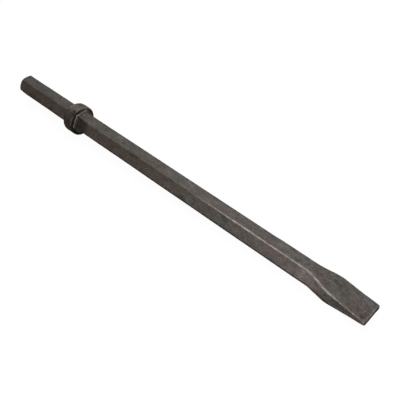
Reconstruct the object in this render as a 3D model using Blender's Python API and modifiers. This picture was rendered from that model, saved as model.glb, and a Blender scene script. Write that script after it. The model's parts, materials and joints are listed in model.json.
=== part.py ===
"""A narrow forged steel chisel for a pneumatic breaker: one solid hexagon bar, upset and hammered.

It is a single forging. From the struck end: a hexagon shank that the tool's chuck guides, a round
upset collar that the tool's retainer holds, the hexagon body, and a flat wedge blade whose broad
faces are parallel to one pair of the bar's flats.

Frame, in metres: the origin is the centre of the striking face. +X runs along the bar to the
blade's edge, +Z is the normal of the blade's upper broad face, and Y is across the blade.
"""

import math

import bmesh
import bpy

# Driving dimensions.
ACROSS_FLATS = 0.0254  # hexagon bar
SHANK_LENGTH = 0.10795  # striking face to the collar's seat
COLLAR_WIDTH = 0.01905
COLLAR_DIAMETER = 0.04128
UNDER_COLLAR_LENGTH = 0.4572  # collar's front face to the blade's edge
BLADE_WIDTH = 0.0294  # at the edge
BLADE_WAIST = 0.0282  # at the shoulder, where the blade is a little narrower
EDGE_THICKNESS = 0.0040
WEDGE_LENGTH = 0.0772  # edge to where the wedge leaves the bar's flats
FLARE_START = 0.0788  # distances from the edge between which the bar widens into the blade
FLARE_END = 0.0442

# Rounded and chamfered edges.
BAR_CORNER = 0.0008  # how far each corner's rounding reaches along the flats
CORNER_LIMIT = 0.4  # the most of a thin section's half-height that its rounding may reach
CHAMFER_LENGTH = 0.0024  # striking face, along the bar
CHAMFER_FACE_RADIUS = 0.0126
SEAT_ROUND_RADIAL = 0.0046  # collar rim, on the shank's side
SEAT_ROUND_AXIAL = 0.0055
FRONT_ROUND = 0.0010  # collar rim, on the blade's side
ROOT_FILLET = 0.0015  # where the bar meets the collar
EDGE_ROUND = 0.0008  # blade's edge, across its thickness
EDGE_CORNER_ROUND = 0.0022  # blade's edge, at its two ends

# Fineness of the solid.
POINTS_PER_CORNER = 4
COLLAR_SEGMENTS = 72
ARC_STEPS = 5
FLARE_STEPS = 22
ENVELOPE_MARGIN = 0.01  # how far the turned envelope stands clear of the bar

# Places along the bar.
SEAT_X = SHANK_LENGTH
FRONT_X = SEAT_X + COLLAR_WIDTH
TIP_X = FRONT_X + UNDER_COLLAR_LENGTH

HEX_SIDE = ACROSS_FLATS / math.sqrt(3)
COLLAR_RADIUS = COLLAR_DIAMETER / 2

STEEL_COLOUR = (0.070, 0.060, 0.053, 1.0)
STEEL_ROUGHNESS = 0.55
STEEL_METALLIC = 0.6
SHARP_ANGLE = math.radians(30)  # edges sharper than this stay crisp when shaded


def clear_scene():
    for item in list(bpy.data.objects):
        bpy.data.objects.remove(item)


def collection(name):
    group = bpy.data.collections.new(name)
    bpy.context.scene.collection.children.link(group)
    return group


def forged_steel():
    material = bpy.data.materials.new("forged_steel")
    material.use_nodes = True
    shader = material.node_tree.nodes["Principled BSDF"]
    shader.inputs["Base Color"].default_value = STEEL_COLOUR
    shader.inputs["Roughness"].default_value = STEEL_ROUGHNESS
    shader.inputs["Metallic"].default_value = STEEL_METALLIC
    return material


def ease(value, start, end):
    """From 0 at start to 1 at end, leaving and arriving level."""
    share = min(max((value - start) / (end - start), 0.0), 1.0)
    return share * share * (3 - 2 * share)


def quarter_round(distance, radius):
    """How much a quarter-round edge has taken off at this distance in from the face."""
    if distance >= radius:
        return 0.0
    return radius - math.sqrt(radius * radius - (radius - distance) ** 2)


def root_growth(x):
    """How far the bar's surface stands out at x because of the fillets at the collar."""
    gap = min(abs(x - SEAT_X), abs(x - FRONT_X))
    if SEAT_X < x < FRONT_X:
        gap = 0.0
    return quarter_round(gap, ROOT_FILLET)


def section_sizes(x):
    """Half-widths of the flat and of the middle, and half the height, of the section at x."""
    from_tip = TIP_X - x
    waist_share = min(from_tip / FLARE_END, 1.0)
    blade_half = (BLADE_WIDTH + (BLADE_WAIST - BLADE_WIDTH) * waist_share) / 2
    blade_share = 1 - ease(from_tip, FLARE_END, FLARE_START)
    flat_half = HEX_SIDE / 2 + (blade_half - HEX_SIDE / 2) * blade_share
    middle_half = HEX_SIDE + (blade_half - HEX_SIDE) * blade_share
    wedge_share = min(from_tip / WEDGE_LENGTH, 1.0)
    half_height = (EDGE_THICKNESS + (ACROSS_FLATS - EDGE_THICKNESS) * wedge_share) / 2
    corner_loss = quarter_round(from_tip, EDGE_CORNER_ROUND)
    edge_loss = quarter_round(from_tip, EDGE_ROUND)
    growth = root_growth(x)
    return (
        flat_half - corner_loss + growth * math.tan(math.pi / 6),
        middle_half - corner_loss + growth / math.cos(math.pi / 6),
        half_height - edge_loss + growth,
    )


def toward(start, end, distance):
    span = math.dist(start, end)
    return [s + (e - s) * distance / span for s, e in zip(start, end)]


def rounded_section(x):
    """The closed outline of the bar or blade at x: six corners, each eased by a short curve."""
    flat_half, middle_half, half_height = section_sizes(x)
    corners = [
        (flat_half, half_height),
        (-flat_half, half_height),
        (-middle_half, 0.0),
        (-flat_half, -half_height),
        (flat_half, -half_height),
        (middle_half, 0.0),
    ]
    reach = min(BAR_CORNER, half_height * CORNER_LIMIT)
    outline = []
    for index, corner in enumerate(corners):
        first = toward(corner, corners[index - 1], reach)
        last = toward(corner, corners[(index + 1) % 6], reach)
        for step in range(POINTS_PER_CORNER):
            t = step / (POINTS_PER_CORNER - 1)
            outline.append(
                (
                    x,
                    *(
                        (1 - t) ** 2 * f + 2 * t * (1 - t) * c + t * t * l
                        for f, c, l in zip(first, corner, last)
                    ),
                )
            )
    return outline


def arc_stations(radius):
    """Distances from 0 to radius, spaced as an arc is, closer where it starts."""
    return [
        radius * (1 - math.cos(math.pi / 2 * step / ARC_STEPS))
        for step in range(ARC_STEPS + 1)
    ]


def bar_stations():
    """The places along the bar where its section is stated."""
    places = [0.0]
    places += [SEAT_X - gap for gap in arc_stations(ROOT_FILLET)]
    places += [FRONT_X + gap for gap in arc_stations(ROOT_FILLET)]
    flare = FLARE_START - EDGE_CORNER_ROUND
    places += [
        TIP_X - EDGE_CORNER_ROUND - flare * step / FLARE_STEPS
        for step in range(FLARE_STEPS + 1)
    ]
    places += [TIP_X - WEDGE_LENGTH]
    places += [TIP_X - gap for gap in arc_stations(EDGE_ROUND)]
    places += [TIP_X - gap for gap in arc_stations(EDGE_CORNER_ROUND)]
    return sorted({round(place, 7) for place in places})


def new_object(name, mesh, group):
    item = bpy.data.objects.new(name, mesh)
    group.objects.link(item)
    return item


def loft_bar(name, group):
    """The whole bar with its blade, as a loft through its sections."""
    shape = bmesh.new()
    rings = [
        [shape.verts.new(point) for point in rounded_section(x)] for x in bar_stations()
    ]
    for ring, following in zip(rings, rings[1:]):
        for index in range(len(ring)):
            after = (index + 1) % len(ring)
            shape.faces.new((ring[index], ring[after], following[after], following[index]))
    shape.faces.new(reversed(rings[0]))
    shape.faces.new(rings[-1])
    bmesh.ops.recalc_face_normals(shape, faces=shape.faces)
    mesh = bpy.data.meshes.new(name)
    shape.to_mesh(mesh)
    shape.free()
    return new_object(name, mesh, group)


def turned(name, profile, segments, group):
    """A solid turned about the bar's axis from (place along the bar, radius) points."""
    mesh = bpy.data.meshes.new(name)
    points = [(radius, 0.0, -x) for x, radius in profile]
    mesh.from_pydata(points, [(i, i + 1) for i in range(len(points) - 1)], [])
    item = new_object(name, mesh, group)
    item.rotation_euler = (0.0, -math.pi / 2, 0.0)
    screw = item.modifiers.new("turn", "SCREW")
    screw.axis = "Z"
    screw.steps = segments
    screw.render_steps = segments
    screw.use_merge_vertices = True
    screw.merge_threshold = 0.00001
    return item


def collar_profile():
    """From the axis at the seat, round the rim, to the axis at the front face."""
    profile = [(SEAT_X, 0.0)]
    for step in range(ARC_STEPS + 1):
        angle = math.pi / 2 * step / ARC_STEPS
        profile.append(
            (
                SEAT_X + SEAT_ROUND_AXIAL * (1 - math.cos(angle)),
                COLLAR_RADIUS - SEAT_ROUND_RADIAL * (1 - math.sin(angle)),
            )
        )
    profile.append((FRONT_X - FRONT_ROUND, COLLAR_RADIUS))
    profile.append((FRONT_X, COLLAR_RADIUS - FRONT_ROUND))
    profile.append((FRONT_X, 0.0))
    return profile


def envelope_profile():
    """A turned envelope that is wider than the bar all along, and chamfers its struck end."""
    return [
        (0.0, 0.0),
        (0.0, CHAMFER_FACE_RADIUS),
        (CHAMFER_LENGTH, HEX_SIDE),
        (CHAMFER_LENGTH + ENVELOPE_MARGIN, HEX_SIDE + ENVELOPE_MARGIN),
        (TIP_X + ENVELOPE_MARGIN, HEX_SIDE + ENVELOPE_MARGIN),
        (TIP_X + ENVELOPE_MARGIN, 0.0),
    ]


def boolean(item, operation, other):
    modifier = item.modifiers.new(other.name, "BOOLEAN")
    modifier.operation = operation
    modifier.solver = "EXACT"
    modifier.object = other
    other.hide_render = True
    other.display_type = "WIRE"


def build():
    clear_scene()
    parts = collection("pneumatic_chisel")
    cutters = collection("cutters")
    chisel = loft_bar("forged_chisel", parts)
    chisel.data.materials.append(forged_steel())
    envelope = turned("end_chamfer", envelope_profile(), COLLAR_SEGMENTS, cutters)
    collar = turned("upset_collar", collar_profile(), COLLAR_SEGMENTS, cutters)
    boolean(chisel, "INTERSECT", envelope)
    boolean(chisel, "UNION", collar)
    for item in (chisel, collar):
        item.data.shade_smooth()
        item.data.set_sharp_from_angle(angle=SHARP_ANGLE)


build()
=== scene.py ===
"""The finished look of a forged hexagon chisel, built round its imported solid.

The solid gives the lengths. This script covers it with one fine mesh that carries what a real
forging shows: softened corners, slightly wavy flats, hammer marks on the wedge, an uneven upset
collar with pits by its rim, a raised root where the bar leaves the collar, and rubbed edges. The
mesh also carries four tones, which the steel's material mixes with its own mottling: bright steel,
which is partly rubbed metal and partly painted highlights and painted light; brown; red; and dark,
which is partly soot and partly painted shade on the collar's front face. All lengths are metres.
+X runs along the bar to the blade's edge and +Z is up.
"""

import json
import math

import bpy
import numpy as np
from mathutils import Matrix, Vector, noise


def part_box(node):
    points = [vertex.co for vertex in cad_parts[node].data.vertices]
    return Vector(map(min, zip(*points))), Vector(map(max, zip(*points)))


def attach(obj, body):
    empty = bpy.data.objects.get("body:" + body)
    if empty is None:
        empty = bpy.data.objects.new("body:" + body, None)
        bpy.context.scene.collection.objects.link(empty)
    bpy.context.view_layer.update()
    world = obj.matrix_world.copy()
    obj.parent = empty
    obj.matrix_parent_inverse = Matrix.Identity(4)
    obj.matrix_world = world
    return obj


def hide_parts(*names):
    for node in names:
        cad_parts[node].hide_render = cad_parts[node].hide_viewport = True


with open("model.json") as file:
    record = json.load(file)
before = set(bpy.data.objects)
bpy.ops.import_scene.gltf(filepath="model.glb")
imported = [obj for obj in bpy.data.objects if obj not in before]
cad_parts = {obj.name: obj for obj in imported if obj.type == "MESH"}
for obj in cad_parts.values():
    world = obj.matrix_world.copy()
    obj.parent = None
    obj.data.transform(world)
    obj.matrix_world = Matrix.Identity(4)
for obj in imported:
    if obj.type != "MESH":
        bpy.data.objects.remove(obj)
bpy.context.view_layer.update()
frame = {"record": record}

# Places and sizes that the frame gives.
NODE = "forged_chisel"
mounts = {mount["name"]: mount["pos_m"] for mount in frame["record"]["mounts"]}
SEAT_X = mounts["collar_seat"][0]
FRONT_X = mounts["collar_front"][0]
TIP_X = mounts["blade_edge"][0]
HALF_FLATS = mounts["shank_flat_upper"][2]
COLLAR_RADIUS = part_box(NODE)[1].z
HEX_SIDE = 2 * HALF_FLATS / math.sqrt(3)

# The blade, as in the solid.
BLADE_WIDTH = 0.0294
BLADE_WAIST = 0.0282
EDGE_THICKNESS = 0.0040
WEDGE_LENGTH = 0.0772
FLARE_START = 0.0788
FLARE_END = 0.0442

# How far a corner's rounding reaches along its two sides, and where that changes: distances from
# the blade's edge, with the length over which the flare's rounding fades.
BAR_CORNER = 0.0011
FLARE_CORNER = 0.0022
BLADE_CORNER = 0.0009
CORNER_LIMIT = 0.45  # the most of a thin section's half-height that the rounding may reach
FLARE_ROUNDING = (FLARE_END + 0.008, FLARE_START - 0.008, 0.012)
BLADE_ROUNDING = (FLARE_END - 0.010, FLARE_END + 0.005)

# The struck end and the blade's edge.
CHAMFER_LENGTH = 0.0024
CHAMFER_FACE_RADIUS = HALF_FLATS
CHAMFER_BLEND = 0.0005  # how softly the chamfer runs out on the flats
STRUCK_ROUND = 0.0006
EDGE_ROUND = 0.0009
EDGE_CORNER_ROUND = 0.0022

# The collar: the rounding of its two rims, the hollow fillet on the shank's side, and the raised
# bead round the bar's root on the blade's side. Fillet and bead are a height and a length.
SEAT_ROUND_RADIAL = 0.0046
SEAT_ROUND_AXIAL = 0.0055
FRONT_ROUND = 0.0010
SEAT_FILLET = (0.0018, 0.0014)
FRONT_BEAD = (0.0027, 0.0016)
BEAD_SLENDERNESS = 1.3  # 1 gives the bead an elliptical section, and more makes it thinner

# Fineness of the mesh. The shares say where rings lie: of the striking face's radius, of the
# chamfer's length, and of the way from the seat's fillet to the collar's rim.
CORNER_POINTS = 7
SIDE_POINTS = 23
BAR_STEP = 0.0015
COLLAR_STEP = 0.0006
ARC_STEPS = 7
BEAD_STEPS = 10
FACE_STEPS = 7
STRUCK_FACE_SHARES = (0.15, 0.3, 0.45, 0.6, 0.75, 0.87, 0.94)
CHAMFER_SHARES = (0, 0.04, 0.1, 0.2, 0.35, 0.5, 0.65, 0.8, 0.95, 1.1, 1.3)
SEAT_FACE_SHARES = (0.3, 0.65)

TINY = 1e-12  # keeps a division by a length of nothing from failing

# Places round the bar are degrees from its -Y side, turning up over the top.
RIDGE_DEG = 60.0
FAR_RIM_DEG = 160.0

# Smooth noise is moved along X, Y and Z by these shares of its seed.
SEED_SHIFTS = (1.0, 1.7, 2.3)

# Relief as layers of smooth noise: the lumps' length, width and height, and a seed.
ALL_OVER_RELIEF = [
    (0.050, 0.020, 0.00012, 1.0),
    (0.010, 0.007, 0.00005, 2.0),
    (0.0036, 0.0026, 0.00003, 3.0),
]
HAMMER_RELIEF = [(0.016, 0.012, 0.00038, 4.0), (0.006, 0.004, 0.00010, 5.0)]
COLLAR_RELIEF = [(0.030, 0.016, 0.00022, 6.0), (0.005, 0.004, 0.00010, 7.0)]
HAMMERING_FADE = (0.065, 0.110)  # distances from the blade's edge over which it dies out
COLLAR_STRETCH = (SEAT_X + 0.001, FRONT_X, 0.001)  # start, end and fade
COLLAR_RADII = (0.0165, 0.0185)  # distances from the axis over which the relief comes in
COLLAR_SINK = 0.5  # the collar's relief lies this share of its height below the true form

# Pits on the collar: place along the bar, degrees round it, radius and depth.
COLLAR_PITS = [
    (0.1224, 63.0, 0.0021, 0.0010),
    (0.1231, 52.0, 0.0014, 0.0006),
    (0.1175, 86.0, 0.0008, 0.0003),
    (0.1190, 24.0, 0.0009, 0.0004),
    (0.1160, 200.0, 0.0011, 0.0006),
    (0.1210, 262.0, 0.0009, 0.0004),
]

# Low swellings: start and end along the bar, degrees round it, reach and height.
SWELLINGS = [
    (0.070, 0.104, -20.0, 0.008, 0.00025),
    (0.465, 0.515, 125.0, 0.009, 0.00035),
    (0.536, 0.584, -25.0, 0.012, 0.00040),
    (0.529, 0.544, 180.0, 0.013, 0.00060),
    (0.518, 0.534, 0.0, 0.013, 0.00055),
]
SWELLING_FADE = 0.015

# The striking face, and the bar this far behind it, is calmer than the rest and dished a little.
STRUCK_DEPTH = 0.0010
STRUCK_CALM = 0.75
STRUCK_DISH = 0.00003

# Wear of the collar's front rim: its rounding on the near and on the far side, the degrees from
# the far side over which one becomes the other, and how uneven it is.
RIM_ROUND = 0.0016
FAR_RIM_ROUND = 0.0036
FAR_RIM_FADE = (20, 100)
RIM_UNEVENNESS = 0.0004
RIM_LUMPS = (0.050, 0.010, 8.0)

# Patches of tone. Each row gives its strength, its stretch along the bar and its arc in degrees
# round it, both as a start, an end and a fade, and the distances from the axis between which it
# comes in. Where the first of those is the larger, the patch goes out there instead.
ALL_ROUND = (-180, 180, 1)
ALL_RADII = (-0.001, 0.0)
RIM_RADII = (0.0150, 0.0185)
RIM_EDGE_RADII = (0.0185, 0.0198)
BAR_RADII = (0.0170, 0.0158)
RIM = (SEAT_X + 0.002, FRONT_X - 0.002, 0.002)
WIDE_RIM = (SEAT_X + 0.001, FRONT_X - 0.001, 0.002)
RIM_MIDDLE = (SEAT_X + 0.003, FRONT_X - 0.003, 0.004)
RIM_FRONT = (FRONT_X - 0.0022, FRONT_X - 0.0012, 0.0008)
ROOT = (FRONT_X + 0.001, FRONT_X + 0.012, 0.010)
LONG_ROOT = (FRONT_X + 0.003, FRONT_X + 0.016, 0.010)
SHORT_ROOT = (FRONT_X + 0.002, FRONT_X + 0.006, 0.005)
WORN_AND_LIT_PATCHES = [
    # The first row is painted light on the rim's top, which faces up.
    (0.12, RIM, (85, 150, 20), RIM_RADII),  # the top of the rim
    (0.10, RIM, (-50, -8, 15), RIM_RADII),  # its low side
]
SCUFFED_AND_HIGHLIT_PATCHES = [
    # The rim's front edge: rubbed steel and a painted highlight.
    (0.12, RIM_FRONT, ALL_ROUND, RIM_EDGE_RADII),
    (0.22, (TIP_X - 0.0022, TIP_X - 0.0008, 0.0012), ALL_ROUND, ALL_RADII),  # the blade's edge
    (0.40, (0.0, 0.0, 0.0022), ALL_ROUND, ALL_RADII),  # the struck end
]
BROWN_PATCHES = [
    (1.00, WIDE_RIM, ALL_ROUND, RIM_RADII),
    (-0.95, WIDE_RIM, (85, 150, 25), RIM_RADII),  # less on the rim's top
    (-0.80, WIDE_RIM, (-60, -12, 20), RIM_RADII),  # and less on its low side
    (0.70, ROOT, ALL_ROUND, BAR_RADII),
]
RED_PATCHES = [(0.80, (0.440, 0.515, 0.030), (0, 58, 4), ALL_RADII)]  # the flat below the ridge
DARK_PATCHES = [
    (0.30, RIM_MIDDLE, (10, 62, 18), RIM_RADII),
    (0.60, LONG_ROOT, (4, 60, 5), BAR_RADII),  # below the ridge
    (0.35, SHORT_ROOT, (60, 75, 8), BAR_RADII),  # just above it
]

# The collar's front face and the bead in front of it, where reach is a share of the plain
# hexagon's own: each stretch and arc is a start, an end and a fade. The face is painted lighter on
# its far top and painted with shade elsewhere.
FACE_STRETCH = (FRONT_X - 0.0006, FRONT_X + 0.0004, 0.0004)
FACE_REACH = (1.18, 1.22)
BEAD_STRETCH = (FRONT_X, FRONT_X + 0.0013, 0.0004)
BEAD_REACH = (1.03, 1.19, 0.02)
LIT_FACE_ARC = (100, 180, 25)
UNSHADED_FACE_ARC = (100, 180, 30)
FACE_PAINTED_LIGHT = 0.16
FACE_PAINTED_SHADE = 0.45
# The bead's bright band is partly rubbed steel and partly a painted highlight.
BEAD_WEAR_AND_HIGHLIGHT = 0.40
BEAD_PEAK_WEAR_AND_HIGHLIGHT = 0.80  # more where the ridge meets the bead
BEAD_PEAK_DEG = 12

# Lines of wear along the corners: their half-widths, their strengths, and how they change with the
# distance from the blade's edge. The flare's line sits a little above the ridge. The near upper
# ridge's line is partly rubbed steel and partly a painted highlight.
RIDGE_LINE = 0.0008
FLARE_LINE_EXTRA = 0.0001
BLADE_LINE_LESS = 0.0002
CORNER_LINE = 0.0006
LINE_ABOVE_RIDGE = 0.0007
RIDGE_WEAR_AND_HIGHLIGHT = 1.15
RIDGE_WEAR_AND_HIGHLIGHT_LOST_ON_BLADE = 0.75
FAR_RIDGE_WEAR = 0.30
CORNER_WEAR = 0.25
RIDGE_WEAR_AND_HIGHLIGHT_STARTS = (0.320, 0.405)  # along the bar
IN_FLARE = (FLARE_END - 0.002, FLARE_START + 0.002, 0.008)
ABOVE_RIDGE = (FLARE_END - 0.002, 0.060, 0.009)
ON_BLADE = (FLARE_END - 0.002, FLARE_END - 0.012)
HAMMERED_BLADE = (0.085, 0.050)  # where the blade's own rubs and spots come in

# Noise that breaks the tones up: the lumps' length and width, and a seed. A pair after it gives
# the noise's values between which a cloud or spot comes in, or a mean and a swing.
SCUFF_LUMPS = (0.012, 0.006, 11.0)
SCUFF_MEAN_AND_SWING = (0.85, 0.35)
RUB_LUMPS = (0.008, 0.0035, 12.0)
RUB_EDGE = (0.12, 0.45)
RUB_WEAR = 0.09
BROWN_LUMPS = (0.030, 0.012, 21.0)
BROWN_MEAN_AND_SWING = (0.60, 0.90)
BROWN_TOP_LUMPS = (0.022, 0.012, 22.0)
BROWN_TOP_EDGE = (0.10, 0.45)
BROWN_TOP = 0.5
SPOT_LUMPS = (0.009, 0.007, 31.0)
SPOT_EDGE = (0.25, 0.55)
SPOT_SOOT = 0.35
BLADE_SPOT_LUMPS = (0.007, 0.0032, 32.0)
BLADE_SPOT_EDGE = (0.15, 0.45)
BLADE_SPOT_SOOT = 0.30

# The sides: how far the surface has to face sideways, and what that does. The flare's and blade's
# sides are painted lighter, standing in for light.
BROWN_SIDE_FACING = (0.3, 0.8)
PAINTED_LIGHT_SIDE_FACING = (0.5, 0.9)
SIDE_PAINTED_LIGHT = 0.13
BROWN_SIDES_END = (0.22, 0.42)  # along the bar
BROWN_SIDES_LOST = 0.90

# The redder half of the blade by its edge: across the blade, and back from the edge.
RED_HALF = (0.006, -0.002)
RED_BY_EDGE = (0.034, 0.022)
RED_BLADE = 0.9

# The darkening in the pits: the distances from the axis where it counts, how much wider than the
# pit it spreads, and the depth of a pit at which it is full.
PIT_RADII = (0.017, 0.019)
PIT_SPREAD = 1.4
PIT_FULL_DEPTH = 0.0007

# The steel's colours, and how its surface takes the light.
SCALE_DARK = (0.062, 0.055, 0.049)
SCALE_LIGHT = (0.098, 0.089, 0.080)
SCALE_OLIVE = (0.078, 0.073, 0.058)
SCALE_RED = (0.096, 0.071, 0.064)
RUST_BROWN = (0.085, 0.058, 0.042)
# Soot, also the colour of the painted shade.
SOOT_AND_SHADE = (0.026, 0.020, 0.017)
# Bare steel, also the colour of the painted highlights and painted light.
BARE_STEEL_AND_PAINTED_LIGHT = (0.345, 0.305, 0.280)
GRAIN_DARK = (0.68, 0.68, 0.68)
GRAIN_LIGHT = (1.32, 1.31, 1.30)
SCALE_AND_SOOT_AND_SHADE_METALLIC = (0.35, 0.95)
ROUGHNESS = (0.44, 0.64)
SPECULAR_LEVEL = 0.4

# A colour mix has inputs of the same names for each kind of value, so its colours go by number.
MIX_FIRST = 6
MIX_SECOND = 7
MIX_RESULT = 2

# The view: towards a point on the bar's axis.
AIM = Vector((0.3458, 0.0, 0.0))
VIEW_DISTANCE = 0.7298
VIEW_AZIMUTH = math.radians(42.72)
VIEW_ELEVATION = math.radians(45.35)
VIEW_ROLL = math.radians(0.556)
LENS_MM = 55.0
SENSOR_MM = 36.0
CLIP_NEAR = 0.01
CLIP_FAR = 50.0

# The floor: a pale plane that glows, so that it stays pale in every view.
FLOOR_WIDTH = 8.0
FLOOR_GAP = 0.0003
FLOOR_GREY = 0.05
FLOOR_GLOW = 0.96

# The lights: name, place, what each points at, width and height, and watts.
LIGHTS = [
    ("overhead", (0.05, 0.10, 1.20), (0.25, 0.0, 0.0), (1.3, 1.3), 16.5),
    ("tip_side", (0.60, -0.60, 0.16), (0.48, 0.0, 0.0), (0.4, 0.4), 2.5),
    ("near_side", (0.25, -0.90, 0.35), (0.25, 0.0, 0.0), (0.7, 0.5), 2.0),
    ("far_side", (0.50, 1.10, 0.60), (0.25, 0.0, 0.0), (1.2, 0.6), 4.5),
    ("shank_end", (-0.80, 0.30, 0.00), (0.0, 0.0, 0.0), (0.4, 0.4), 1.6),
]


def ease(value, start, end):
    """From 0 at start to 1 at end, leaving and arriving level. Works on arrays, and either way."""
    share = np.clip((value - start) / (end - start), 0.0, 1.0)
    return share * share * (3 - 2 * share)


def hump(value, start, end, fade):
    """1 between start and end, fading to 0 over a length outside them. Works on arrays."""
    return ease(value, start - fade, start) * (1 - ease(value, end, end + fade))


def bell(value):
    """1 at 0, falling away on both sides to about a third at 1. Works on arrays."""
    return np.exp(-(value**2))


def quarter_round(distance, radius):
    """How much a quarter-round edge has taken off at this distance in from the face."""
    inside = max(radius - distance, 0.0)
    return radius - math.sqrt(radius * radius - inside * inside)


def hollow(fillet):
    """Pairs (distance along, growth) down a hollow fillet of this height and length."""
    height, length = fillet
    angles = np.linspace(0, math.pi / 2, ARC_STEPS)
    return [(length * (1 - math.cos(a)), height * (1 - math.sin(a))) for a in angles]


def bead(height, length):
    """Pairs (distance along, growth) over a rounded bead of this height and length."""
    pairs = []
    for angle in np.linspace(0, math.pi / 2, BEAD_STEPS):
        growth = height * math.cos(angle) ** BEAD_SLENDERNESS
        pairs.append((length * math.sin(angle), growth))
    return pairs


# ---------------------------------------------------------------- the true form


def section_sizes(x):
    """Half-widths of the flat and of the middle, and half the height, of the section at x."""
    from_tip = TIP_X - x
    waist_share = min(from_tip / FLARE_END, 1.0)
    blade_half = (BLADE_WIDTH + (BLADE_WAIST - BLADE_WIDTH) * waist_share) / 2
    blade_share = 1 - float(ease(from_tip, FLARE_END, FLARE_START))
    flat_half = HEX_SIDE / 2 + (blade_half - HEX_SIDE / 2) * blade_share
    middle_half = HEX_SIDE + (blade_half - HEX_SIDE) * blade_share
    wedge_share = min(from_tip / WEDGE_LENGTH, 1.0)
    half_height = EDGE_THICKNESS / 2 + (HALF_FLATS - EDGE_THICKNESS / 2) * wedge_share
    corner_loss = quarter_round(from_tip, EDGE_CORNER_ROUND)
    edge_loss = quarter_round(from_tip, EDGE_ROUND)
    return flat_half - corner_loss, middle_half - corner_loss, half_height - edge_loss


def corner_reach(x, half_height):
    """How far a corner's rounding reaches along each side of the section at x."""
    from_tip = TIP_X - x
    in_flare = float(hump(from_tip, *FLARE_ROUNDING))
    in_blade = 1 - float(ease(from_tip, *BLADE_ROUNDING))
    reach = BAR_CORNER + (FLARE_CORNER - BAR_CORNER) * in_flare
    reach += (BLADE_CORNER - BAR_CORNER) * in_blade
    return min(reach, half_height * CORNER_LIMIT)


def outline(x, growth):
    """The section's points round the bar at x, grown outwards by a fillet's height."""
    flat_half, middle_half, half_height = section_sizes(x)
    flat_half += growth * math.tan(math.pi / 6)
    middle_half += growth / math.cos(math.pi / 6)
    half_height += growth
    corners = np.array(
        [
            (flat_half, half_height),
            (-flat_half, half_height),
            (-middle_half, 0.0),
            (-flat_half, -half_height),
            (flat_half, -half_height),
            (middle_half, 0.0),
        ]
    )
    reach = corner_reach(x, half_height)
    after = np.roll(corners, -1, axis=0) - corners
    after /= np.linalg.norm(after, axis=1)[:, None]
    first = corners - np.roll(after, 1, axis=0) * reach
    last = corners + after * reach
    points = []
    for index in range(len(corners)):
        for t in np.linspace(0, 1, CORNER_POINTS):
            start = (1 - t) ** 2 * first[index]
            middle = 2 * t * (1 - t) * corners[index]
            points.append(start + middle + t * t * last[index])
        following = first[(index + 1) % len(corners)]
        for t in np.linspace(0, 1, SIDE_POINTS + 2)[1:-1]:
            points.append(last[index] + (following - last[index]) * t)
    return np.array(points)


def soft_minimum(a, b, width):
    """The smaller of two values, with the change-over rounded over width."""
    share = np.clip(0.5 + 0.5 * (b - a) / width, 0.0, 1.0)
    return b + (a - b) * share - width * share * (1 - share)


def ring(x, growth=0.0, within=None, disc=None, disc_share=0.0):
    """One ring of the mesh: the section at x, kept within a circle or drawn out to a disc."""
    flat = outline(x, growth)
    radius = np.linalg.norm(flat, axis=1)
    wanted = radius
    if within is not None:
        wanted = soft_minimum(radius, within, CHAMFER_BLEND)
    if disc is not None:
        wanted = radius + (disc - radius) * disc_share
    flat = flat * (wanted / radius)[:, None]
    return np.column_stack([np.full(len(flat), x), flat])


def struck_end():
    """Rings over the striking face and down its conical chamfer."""
    rings = []
    for share in STRUCK_FACE_SHARES:
        rings.append(ring(0.0, disc=CHAMFER_FACE_RADIUS * share, disc_share=1.0))
    slope = (HEX_SIDE - CHAMFER_FACE_RADIUS) / CHAMFER_LENGTH
    for share in CHAMFER_SHARES:
        x = CHAMFER_LENGTH * share
        limit = CHAMFER_FACE_RADIUS + slope * x - STRUCK_ROUND * math.exp(-x / STRUCK_ROUND)
        rings.append(ring(x, within=limit))
    return rings


def bar(start, end):
    """Evenly spaced rings along a plain stretch, without its two ends."""
    steps = max(int(round((end - start) / BAR_STEP)), 1)
    return [ring(x) for x in np.linspace(start, end, steps + 1)[1:-1]]


def collar():
    """Rings up the seat's fillet, out over the collar and back down to the body."""
    rings = []
    for along, growth in reversed(hollow(SEAT_FILLET)):
        rings.append(ring(SEAT_X - along, growth=growth))
    seat_edge = COLLAR_RADIUS - SEAT_ROUND_RADIAL
    for share in SEAT_FACE_SHARES:
        rings.append(ring(SEAT_X, growth=SEAT_FILLET[0], disc=seat_edge, disc_share=share))
    for angle in np.linspace(0, math.pi / 2, 2 * ARC_STEPS):
        x = SEAT_X + SEAT_ROUND_AXIAL * (1 - math.cos(angle))
        radius = COLLAR_RADIUS - SEAT_ROUND_RADIAL * (1 - math.sin(angle))
        rings.append(ring(x, disc=radius, disc_share=1.0))
    rim_start = SEAT_X + SEAT_ROUND_AXIAL + COLLAR_STEP
    for x in np.arange(rim_start, FRONT_X - FRONT_ROUND, COLLAR_STEP):
        rings.append(ring(x, disc=COLLAR_RADIUS, disc_share=1.0))
    for angle in np.linspace(0, math.pi / 2, ARC_STEPS):
        x = FRONT_X - FRONT_ROUND * (1 - math.sin(angle))
        radius = COLLAR_RADIUS - FRONT_ROUND * (1 - math.cos(angle))
        rings.append(ring(x, disc=radius, disc_share=1.0))
    face_edge = COLLAR_RADIUS - FRONT_ROUND
    for share in np.linspace(1, 0, FACE_STEPS + 1)[1:-1]:
        rings.append(ring(FRONT_X, growth=FRONT_BEAD[0], disc=face_edge, disc_share=share))
    for along, growth in bead(*FRONT_BEAD):
        rings.append(ring(FRONT_X + along, growth=growth))
    return rings


def edge_rings():
    """Closely spaced rings where the blade's edge is rounded."""
    gaps = set()
    for reach in (EDGE_CORNER_ROUND, EDGE_ROUND):
        for angle in np.linspace(0, math.pi / 2, ARC_STEPS):
            gaps.add(reach * (1 - math.sin(angle)))
    return [ring(TIP_X - gap) for gap in sorted(gaps, reverse=True)]


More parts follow.
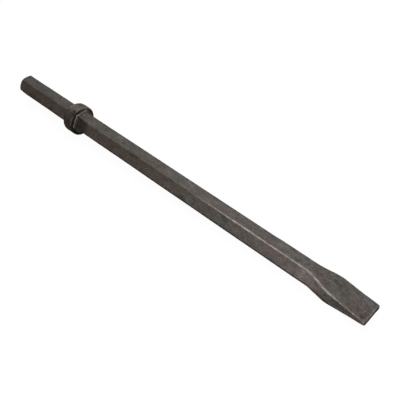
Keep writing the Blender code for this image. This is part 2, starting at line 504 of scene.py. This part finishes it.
def true_form():
    """All rings from the striking face to the blade's edge, as one array."""
    rings = struck_end()
    rings += bar(CHAMFER_LENGTH * CHAMFER_SHARES[-1], SEAT_X - SEAT_FILLET[1])
    rings += collar()
    rings += bar(FRONT_X + FRONT_BEAD[1], TIP_X - EDGE_CORNER_ROUND)
    rings += edge_rings()
    return np.array(rings)


def normals(points):
    """Outward normals of the rings' points, from their neighbours along and round the bar."""
    along = np.gradient(points, axis=0)
    around = np.roll(points, -1, axis=1) - np.roll(points, 1, axis=1)
    normal = np.cross(around, along)
    size = np.linalg.norm(normal, axis=2)[..., None]
    return normal / np.maximum(size, TINY)


# ---------------------------------------------------------------- marks of forging and use


def field(points, length, across, seed):
    """Smooth noise over the surface, with lumps this long along the bar and this wide across."""
    scale = Vector((1 / length, 1 / across, 1 / across))
    shift = Vector([share * seed for share in SEED_SHIFTS])
    flat = points.reshape(-1, 3)
    values = [noise.noise(Vector((x, y, z)) * scale + shift) for x, y, z in flat]
    return np.array(values).reshape(points.shape[:2])


def relief(points, layers, sink=0.0):
    """Layers of noise, each lowered by a share of its own height."""
    total = 0.0
    for length, across, height, seed in layers:
        total = total + height * (field(points, length, across, seed) - sink)
    return total


def angle_gap(angle, centre):
    """The smallest difference between angles, in degrees."""
    return np.abs((angle - centre + 180) % 360 - 180)


class Surface:
    """Where the mesh's points lie: along the bar, round it, and out from its axis."""

    def __init__(self, points):
        self.points = points
        self.x = points[..., 0]
        self.y = points[..., 1]
        self.from_tip = TIP_X - self.x
        self.angle = np.degrees(np.arctan2(points[..., 2], -self.y))
        self.radius = np.hypot(self.y, points[..., 2])

    def reach(self):
        """The distance from the axis, as a share of the plain hexagon's at the same angle."""
        from_flat = np.radians((self.angle - RIDGE_DEG) % 60 - 30)
        return self.radius / (HALF_FLATS / np.cos(from_flat))

    def noise(self, lumps):
        """Smooth noise at the points: lumps holds their length and width, and a seed."""
        return field(self.points, *lumps)

    def patches(self, rows):
        """The sum of a table's patches of tone."""
        total = 0.0
        for strength, stretch, arc, radii in rows:
            place = hump(self.x, *stretch) * hump(self.angle, *arc)
            total = total + strength * place * ease(self.radius, *radii)
        return total

    def from_pit(self, place, degrees):
        """The distance of each point from a pit on the collar's rim."""
        sideways = np.radians(angle_gap(self.angle, degrees)) * COLLAR_RADIUS
        return np.hypot(self.x - place, sideways)

    def on_front_face(self):
        """1 on the collar's front face, 0 away from it."""
        return hump(self.x, *FACE_STRETCH) * ease(self.reach(), *FACE_REACH)

    def on_bead(self):
        """1 on the bead in front of the collar, 0 away from it."""
        return hump(self.x, *BEAD_STRETCH) * hump(self.reach(), *BEAD_REACH)


def surface_lift(surface):
    """How far the forged surface stands out from the true form at each point."""
    lift = relief(surface.points, ALL_OVER_RELIEF)
    hammered = 1 - ease(surface.from_tip, *HAMMERING_FADE)
    lift += hammered * relief(surface.points, HAMMER_RELIEF)
    on_collar = hump(surface.x, *COLLAR_STRETCH) * ease(surface.radius, *COLLAR_RADII)
    lift += on_collar * relief(surface.points, COLLAR_RELIEF, COLLAR_SINK)
    for place, degrees, size, depth in COLLAR_PITS:
        lift -= on_collar * depth * bell(surface.from_pit(place, degrees) / size)
    for start, end, degrees, reach, height in SWELLINGS:
        sideways = np.radians(angle_gap(surface.angle, degrees)) * HALF_FLATS / reach
        lift += height * hump(surface.x, start, end, SWELLING_FADE) * bell(sideways)
    struck = 1 - ease(surface.x, 0.0, STRUCK_DEPTH)
    return lift * (1 - STRUCK_CALM * struck) - STRUCK_DISH * struck


def worn_rim(points):
    """The points with the collar's front rim rounded over, most on its far side."""
    surface = Surface(points)
    far = 1 - ease(angle_gap(surface.angle, FAR_RIM_DEG), *FAR_RIM_FADE)
    rounding = RIM_ROUND + (FAR_RIM_ROUND - RIM_ROUND) * far
    rounding += RIM_UNEVENNESS * surface.noise(RIM_LUMPS)
    along = surface.x - (FRONT_X - rounding)
    outward = surface.radius - (COLLAR_RADIUS - rounding)
    reach = np.hypot(along, outward)
    beyond = (along > 0) & (outward > 0) & (reach > rounding)
    share = np.where(beyond, rounding / np.maximum(reach, TINY), 1.0)
    new_radius = np.where(beyond, surface.radius + outward * (share - 1), surface.radius)
    rounded = points.copy()
    rounded[..., 0] = np.where(beyond, surface.x + along * (share - 1), surface.x)
    rounded[..., 1:] *= (new_radius / np.maximum(surface.radius, TINY))[..., None]
    return rounded


def forged(surface):
    """The true form's points with the marks of forging on them."""
    lifted = surface.points + normals(surface.points) * surface_lift(surface)[..., None]
    lifted = worn_rim(lifted)
    radius = np.hypot(lifted[..., 1], lifted[..., 2])
    over = np.maximum(radius / COLLAR_RADIUS, 1.0)
    lifted[..., 1:] /= over[..., None]
    lifted[..., 0] = np.clip(lifted[..., 0], 0.0, TIP_X)
    return lifted


# ---------------------------------------------------------------- tones carried by the mesh


def distance_to_corner(points, side, level, inset=0.0):
    """How far each point is from a section's corner: side and level are -1, 0 or 1."""
    sizes = np.array([section_sizes(row[0, 0]) for row in points])
    width = sizes[:, 0] if level else sizes[:, 1]
    y = side * (width[:, None] - inset)
    z = level * sizes[:, 2][:, None]
    return np.hypot(points[..., 1] - y, points[..., 2] - z)


def corner_wear_and_ridge_highlight(surface, scuffed):
    """Bright lines along the bar's corners: rubbed steel, and on the near upper ridge, where they
    are strongest, also a painted highlight.
    """
    points = surface.points
    in_flare = hump(surface.from_tip, *IN_FLARE)
    on_blade = ease(surface.from_tip, *ON_BLADE)
    width = RIDGE_LINE + FLARE_LINE_EXTRA * in_flare - BLADE_LINE_LESS * on_blade
    strength = ease(surface.x, *RIDGE_WEAR_AND_HIGHLIGHT_STARTS)
    strength = strength * (RIDGE_WEAR_AND_HIGHLIGHT - RIDGE_WEAR_AND_HIGHLIGHT_LOST_ON_BLADE * on_blade)
    above_ridge = LINE_ABOVE_RIDGE * hump(surface.from_tip, *ABOVE_RIDGE)
    # The near upper ridge's line: rubbed steel and a painted highlight.
    worn = strength * scuffed * bell(distance_to_corner(points, -1, 1, above_ridge) / width)
    far_line = bell(distance_to_corner(points, 1, 1) / CORNER_LINE)
    worn += FAR_RIDGE_WEAR * strength * scuffed * far_line
    for side, level in ((-1, -1), (1, -1), (-1, 0), (1, 0)):
        line = bell(distance_to_corner(points, side, level) / CORNER_LINE)
        ends_at_blade = 1 - on_blade * (level == 0)
        worn += CORNER_WEAR * scuffed * line * ends_at_blade
    return worn


def wear_and_painted_light_tone(surface, outward):
    """Bright metal where edges have been rubbed, and painted highlights and painted light on the
    near ridge, the bead, the collar's face and rim, and the sides: 0 for whole scale, 1 for bare
    steel.
    """
    mean, swing = SCUFF_MEAN_AND_SWING
    scuffed = mean + swing * surface.noise(SCUFF_LUMPS)
    worn = corner_wear_and_ridge_highlight(surface, scuffed)
    peak = bell(angle_gap(surface.angle, RIDGE_DEG) / BEAD_PEAK_DEG)
    # Wear and a painted highlight on the bead, brightest where the ridge meets it.
    worn += surface.on_bead() * (BEAD_WEAR_AND_HIGHLIGHT + BEAD_PEAK_WEAR_AND_HIGHLIGHT * peak)
    # Painted light on the far top of the collar's front face.
    worn += FACE_PAINTED_LIGHT * surface.on_front_face() * hump(surface.angle, *LIT_FACE_ARC)
    worn += surface.patches(WORN_AND_LIT_PATCHES)
    worn += surface.patches(SCUFFED_AND_HIGHLIT_PATCHES) * scuffed
    rubs = ease(surface.noise(RUB_LUMPS), *RUB_EDGE)
    worn += RUB_WEAR * rubs * ease(surface.from_tip, *HAMMERED_BLADE)
    facing_side = ease(np.abs(outward[..., 1]), *PAINTED_LIGHT_SIDE_FACING)
    in_flare = hump(surface.from_tip, *IN_FLARE)
    on_blade = ease(surface.from_tip, *ON_BLADE)
    # Painted light on the sides of the flare and the blade.
    worn += SIDE_PAINTED_LIGHT * facing_side * np.maximum(in_flare, on_blade)
    return np.clip(worn, 0.0, 1.0)


def brown_tone(surface, outward):
    """Where the scale is browner: the sides towards the shank, the collar, its root and clouds."""
    facing_side = ease(np.abs(outward[..., 1]), *BROWN_SIDE_FACING)
    mean, swing = BROWN_MEAN_AND_SWING
    clouds = mean + swing * surface.noise(BROWN_LUMPS)
    brown = facing_side * (1 - BROWN_SIDES_LOST * ease(surface.x, *BROWN_SIDES_END)) * clouds
    top_clouds = ease(surface.noise(BROWN_TOP_LUMPS), *BROWN_TOP_EDGE)
    brown += BROWN_TOP * (1 - facing_side) * top_clouds
    brown += surface.patches(BROWN_PATCHES)
    return np.clip(brown, 0.0, 1.0)


def red_tone(surface):
    """Where the scale is redder: the flat below the ridge before the flare, and by the edge."""
    by_edge = RED_BLADE * ease(surface.y, *RED_HALF) * ease(surface.from_tip, *RED_BY_EDGE)
    return np.clip(surface.patches(RED_PATCHES) + by_edge, 0.0, 1.0)


def dark_tone(surface):
    """Where the steel is darker: painted shade on the collar's front face, its pits, the bar's root
    by the collar, and sooty spots.
    """
    # Painted shade over the collar's front face, all but its far top.
    unshaded = hump(surface.angle, *UNSHADED_FACE_ARC)
    dark = FACE_PAINTED_SHADE * surface.on_front_face() * (1 - unshaded)
    dark += surface.patches(DARK_PATCHES)
    for place, degrees, size, depth in COLLAR_PITS:
        pit_darkening = bell(surface.from_pit(place, degrees) / (PIT_SPREAD * size))
        dark += ease(surface.radius, *PIT_RADII) * (depth / PIT_FULL_DEPTH) * pit_darkening
    dark += SPOT_SOOT * ease(surface.noise(SPOT_LUMPS), *SPOT_EDGE)
    blade_spots = ease(surface.noise(BLADE_SPOT_LUMPS), *BLADE_SPOT_EDGE)
    dark += BLADE_SPOT_SOOT * blade_spots * ease(surface.from_tip, *HAMMERED_BLADE)
    return np.clip(dark, 0.0, 1.0)


# ---------------------------------------------------------------- mesh and material


def make_mesh(points, tones):
    """A closed mesh over the rings, with a point at the middle of the striking face."""
    count, around, _ = points.shape
    vertices = points.reshape(-1, 3).tolist()
    faces = []
    for row in range(count - 1):
        for index in range(around):
            here = row * around + index
            beside = row * around + (index + 1) % around
            faces.append((here, beside, beside + around, here + around))
    hub = len(vertices)
    vertices.append(points[0].mean(axis=0).tolist())
    for index in range(around):
        faces.append((hub, (index + 1) % around, index))
    faces.append(tuple((count - 1) * around + index for index in range(around)))
    mesh = bpy.data.meshes.new("chisel_steel")
    mesh.from_pydata(vertices, [], faces)
    for name, values in tones.items():
        layer = mesh.attributes.new(name, "FLOAT", "POINT")
        layer.data.foreach_set("value", np.append(values.ravel(), values[0].mean()))
    mesh.shade_smooth()
    return mesh


class Nodes:
    """A short way to add nodes to a material and join them."""

    def __init__(self, material):
        material.use_nodes = True
        self.tree = material.node_tree
        self.shader = self.tree.nodes["Principled BSDF"]

    def add(self, kind, **settings):
        """A new node with these settings."""
        node = self.tree.nodes.new(kind)
        for name, value in settings.items():
            setattr(node, name, value)
        return node

    def join(self, source, target):
        self.tree.links.new(source, target)

    def attribute(self, name):
        return self.add("ShaderNodeAttribute", attribute_name=name).outputs["Fac"]

    def mottling(self, length, across, octaves):
        """Noise with lumps this long along the bar and this wide across it."""
        place = self.add("ShaderNodeTexCoord").outputs["Object"]
        mapping = self.add("ShaderNodeMapping")
        mapping.inputs["Scale"].default_value = (1 / length, 1 / across, 1 / across)
        texture = self.add("ShaderNodeTexNoise")
        texture.inputs["Scale"].default_value = 1.0
        texture.inputs["Detail"].default_value = octaves
        self.join(place, mapping.inputs["Vector"])
        self.join(mapping.outputs["Vector"], texture.inputs["Vector"])
        return texture.outputs["Fac"]

    def spread(self, source, between, gives):
        """A value carried from one range to another, held at the new range's ends."""
        node = self.add("ShaderNodeMapRange", clamp=True)
        self.join(source, node.inputs["Value"])
        ends = ("From Min", "From Max", "To Min", "To Max")
        for name, value in zip(ends, (*between, *gives)):
            node.inputs[name].default_value = value
        return node.outputs["Result"]

    def patchy(self, name, mottling, between, gives):
        """One of the mesh's tones, broken up by mottling."""
        node = self.add("ShaderNodeMath", operation="MULTIPLY")
        self.join(self.attribute(name), node.inputs[0])
        self.join(self.spread(mottling, between, gives), node.inputs[1])
        return node.outputs[0]

    def blend(self, factor, first, second):
        """A colour between two; each is a node's output or a plain (red, green, blue)."""
        node = self.add("ShaderNodeMix", data_type="RGBA", blend_type="MIX")
        self.join(factor, node.inputs["Factor"])
        for number, colour in ((MIX_FIRST, first), (MIX_SECOND, second)):
            if isinstance(colour, tuple):
                node.inputs[number].default_value = (*colour, 1.0)
            else:
                self.join(colour, node.inputs[number])
        return node.outputs[MIX_RESULT]

    def multiply(self, first, second):
        """Two colours multiplied together."""
        node = self.add("ShaderNodeMix", data_type="RGBA", blend_type="MULTIPLY")
        node.inputs["Factor"].default_value = 1.0
        self.join(first, node.inputs[MIX_FIRST])
        self.join(second, node.inputs[MIX_SECOND])
        return node.outputs[MIX_RESULT]

    def bump(self, source, strength, height):
        """Small relief that only the light sees."""
        node = self.add("ShaderNodeBump")
        node.inputs["Strength"].default_value = strength
        node.inputs["Distance"].default_value = height
        self.join(source, node.inputs["Height"])
        return node


def steel_colour(make, soot_and_shade):
    """Mottled scale with olive, red, brown and dark patches, the dark ones soot and painted shade,
    and bare steel where it is rubbed through or a highlight is painted.
    """
    clouds = make.spread(make.mottling(0.018, 0.009, octaves=4), between=(0.35, 0.65), gives=(0, 1))
    colour = make.blend(clouds, SCALE_DARK, SCALE_LIGHT)
    olive = make.spread(make.mottling(0.026, 0.014, octaves=2), between=(0.52, 0.68), gives=(0, 0.7))
    colour = make.blend(olive, colour, SCALE_OLIVE)
    red = make.spread(make.mottling(0.034, 0.017, octaves=3), between=(0.54, 0.70), gives=(0, 0.6))
    colour = make.blend(red, colour, SCALE_RED)
    redder = make.patchy("red", make.mottling(0.012, 0.007, octaves=3), (0.35, 0.6), (0.35, 1))
    colour = make.blend(redder, colour, SCALE_RED)
    brown = make.patchy("brown", make.mottling(0.008, 0.005, octaves=3), (0.3, 0.7), (0.55, 1))
    colour = make.blend(brown, colour, RUST_BROWN)
    colour = make.blend(soot_and_shade, colour, SOOT_AND_SHADE)
    worn = make.patchy("worn", make.mottling(0.006, 0.0022, octaves=4), (0.3, 0.6), (0.45, 1))
    colour = make.blend(worn, colour, BARE_STEEL_AND_PAINTED_LIGHT)
    grain = make.spread(make.mottling(0.0026, 0.0017, octaves=5), between=(0.32, 0.68), gives=(0, 1))
    speckle = make.blend(grain, GRAIN_DARK, GRAIN_LIGHT)
    return make.multiply(colour, speckle)


def forge_scale():
    """Dark forge scale, mottled and streaked, rubbed through along the edges, with painted
    highlights and painted shade in its colour.
    """
    material = bpy.data.materials.new("forge_scale")
    make = Nodes(material)
    soot_and_shade = make.patchy("dark", make.mottling(0.005, 0.003, octaves=3), (0.3, 0.65), (0.6, 1))
    make.join(steel_colour(make, soot_and_shade), make.shader.inputs["Base Color"])
    # The dark tone, painted shade among it, also makes the steel more metallic, which darkens it
    # further.
    metallic = make.spread(soot_and_shade, between=(0, 1), gives=SCALE_AND_SOOT_AND_SHADE_METALLIC)
    make.join(metallic, make.shader.inputs["Metallic"])
    make.shader.inputs["Specular IOR Level"].default_value = SPECULAR_LEVEL
    lumps = make.mottling(0.007, 0.004, octaves=4)
    roughness = make.spread(lumps, between=(0.3, 0.7), gives=ROUGHNESS)
    make.join(roughness, make.shader.inputs["Roughness"])
    coarse = make.bump(make.mottling(0.0042, 0.0026, octaves=4), strength=0.5, height=0.0004)
    fine = make.bump(make.mottling(0.0009, 0.0007, octaves=3), strength=0.45, height=0.00015)
    make.join(coarse.outputs["Normal"], fine.inputs["Normal"])
    make.join(fine.outputs["Normal"], make.shader.inputs["Normal"])
    return material


def add_chisel():
    surface = Surface(true_form())
    outward = normals(surface.points)
    tones = {
        "worn": wear_and_painted_light_tone(surface, outward),
        "brown": brown_tone(surface, outward),
        "red": red_tone(surface),
        "dark": dark_tone(surface),
    }
    piece = bpy.data.objects.new("chisel_steel", make_mesh(forged(surface), tones))
    bpy.context.scene.collection.objects.link(piece)
    piece.data.materials.append(forge_scale())
    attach(piece, "root")
    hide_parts(NODE)


# ---------------------------------------------------------------- camera, floor and light


def add_camera():
    """The camera stands off along its azimuth and elevation, rolled slightly about its view."""
    back = Vector(
        (
            math.sin(VIEW_AZIMUTH) * math.cos(VIEW_ELEVATION),
            -math.cos(VIEW_AZIMUTH) * math.cos(VIEW_ELEVATION),
            math.sin(VIEW_ELEVATION),
        )
    )
    level = Vector((math.cos(VIEW_AZIMUTH), math.sin(VIEW_AZIMUTH), 0.0))
    right = level * math.cos(VIEW_ROLL) + back.cross(level) * math.sin(VIEW_ROLL)
    turn = Matrix((right, back.cross(right), back)).transposed()
    data = bpy.data.cameras.new("camera")
    data.sensor_width = SENSOR_MM
    data.lens = LENS_MM
    data.clip_start = CLIP_NEAR
    data.clip_end = CLIP_FAR
    camera = bpy.data.objects.new("camera", data)
    camera.matrix_world = Matrix.Translation(AIM + back * VIEW_DISTANCE) @ turn.to_4x4()
    bpy.context.scene.collection.objects.link(camera)
    bpy.context.scene.camera = camera


def add_area_light(name, place, target, size, watts):
    """A soft rectangular lamp that points at its target."""
    data = bpy.data.lights.new(name, "AREA")
    data.shape = "RECTANGLE"
    data.size, data.size_y = size
    data.energy = watts
    light = bpy.data.objects.new(name, data)
    light.location = place
    aim = Vector(target) - Vector(place)
    light.rotation_euler = aim.to_track_quat("-Z", "Y").to_euler()
    bpy.context.scene.collection.objects.link(light)


def add_floor():
    """A pale floor that the collar's rim and the wedge's heel both touch."""
    heel_x = TIP_X - WEDGE_LENGTH
    slope = math.atan((COLLAR_RADIUS - HALF_FLATS) / (heel_x - (FRONT_X - FRONT_ROUND)))
    bpy.ops.mesh.primitive_plane_add(size=FLOOR_WIDTH)
    floor = bpy.context.active_object
    floor.name = "floor"
    floor.rotation_euler = (0.0, -slope, 0.0)
    floor.location = (FRONT_X, 0.0, -COLLAR_RADIUS - FLOOR_GAP)
    material = bpy.data.materials.new("pale_floor")
    material.use_nodes = True
    shader = material.node_tree.nodes["Principled BSDF"]
    shader.inputs["Base Color"].default_value = (FLOOR_GREY, FLOOR_GREY, FLOOR_GREY, 1)
    shader.inputs["Roughness"].default_value = 1.0
    shader.inputs["Specular IOR Level"].default_value = 0.0
    shader.inputs["Emission Color"].default_value = (1, 1, 1, 1)
    shader.inputs["Emission Strength"].default_value = FLOOR_GLOW
    floor.data.materials.append(material)
    floor.visible_diffuse = False
    floor.visible_glossy = False


def add_light():
    """Soft lamps, and a white surround that is only seen behind the chisel."""
    world = bpy.data.worlds.new("studio")
    bpy.context.scene.world = world
    world.use_nodes = True
    world.node_tree.nodes["Background"].inputs["Color"].default_value = (1, 1, 1, 1)
    world.node_tree.nodes["Background"].inputs["Strength"].default_value = 1.0
    world.cycles_visibility.diffuse = False
    world.cycles_visibility.glossy = False
    for name, place, target, size, watts in LIGHTS:
        add_area_light(name, place, target, size, watts)
    bpy.context.scene.view_settings.view_transform = "Standard"


add_camera()
add_light()
add_floor()
add_chisel()
